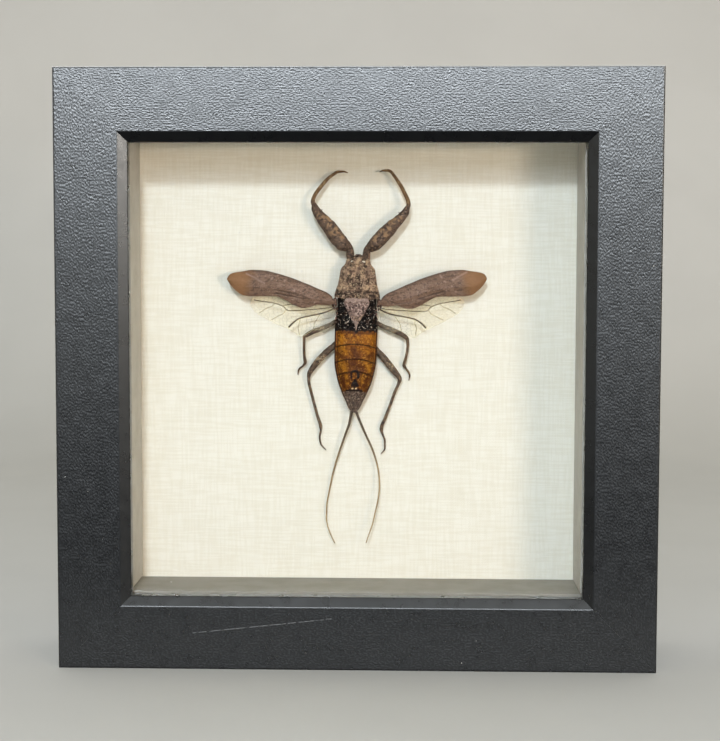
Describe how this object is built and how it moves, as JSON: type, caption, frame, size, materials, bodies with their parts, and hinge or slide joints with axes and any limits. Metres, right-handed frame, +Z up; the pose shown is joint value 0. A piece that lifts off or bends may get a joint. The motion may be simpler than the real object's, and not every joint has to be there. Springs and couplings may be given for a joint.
{
  "type": "framed water scorpion specimen",
  "caption": "Square black shadow-box frame, glazed, with a dried water scorpion fixed to linen paper, wings spread and long tail siphons apart. Stands on its lower edge or hangs.",
  "frame": {"origin": "centre of the bounding box in X and Y, at the surface the frame stands on", "axes": "+Z up along the specimen's length, head up; the front of the frame looks along -Y, so +X is to the viewer's right and +Y is the depth of the frame"},
  "size_m": [0.1524, 0.0362, 0.1524],
  "materials": {
    "black_painted_wood": "satin black paint over fine-grained wood",
    "clear_glass": "clear float glass",
    "off_white_card": "smooth matt off-white card",
    "cream_linen_paper": "cream paper embossed like linen",
    "brown_hardboard": "plain brown board",
    "bright_steel": "bright zinc-plated steel",
    "brass": "bright brass-plated nail",
    "clear_glue": "dried clear glue",
    "brown_cuticle": "dry insect cuticle, mottled brown with an amber abdomen",
    "leg_cuticle": "dry insect cuticle, dark brown with tan patches",
    "leathery_wing": "leathery brown forewing with a reddish tip",
    "wing_membrane": "translucent cream wing membrane with fine tan veins",
    "siphon_horn": "thin horny tubes, dark brown to pale tan at the tips"
  },
  "bodies": {
    "root": {"rail_top": "black_painted_wood", "rail_bottom": "black_painted_wood", "rail_left": "black_painted_wood", "rail_right": "black_painted_wood", "glass_pane": "clear_glass", "wall_top": "off_white_card", "wall_bottom": "off_white_card", "wall_left": "off_white_card", "wall_right": "off_white_card", "linen_paper": "cream_linen_paper", "backing_board": "brown_hardboard", "tab_top": "bright_steel", "tab_bottom": "bright_steel", "tab_left": "bright_steel", "tab_right": "bright_steel", "sawtooth_hanger": "bright_steel", "hanger_nail_left": "brass", "hanger_nail_right": "brass", "glue_dab": "clear_glue", "body": "brown_cuticle", "forewing_left": "leathery_wing", "forewing_right": "leathery_wing", "hindwing_left": "wing_membrane", "hindwing_right": "wing_membrane", "foreleg_left": "leg_cuticle", "foreleg_right": "leg_cuticle", "midleg_left": "leg_cuticle", "midleg_right": "leg_cuticle", "hindleg_left": "leg_cuticle", "hindleg_right": "leg_cuticle", "siphon_left": "siphon_horn", "siphon_right": "siphon_horn"}
  },
  "joints": []
}
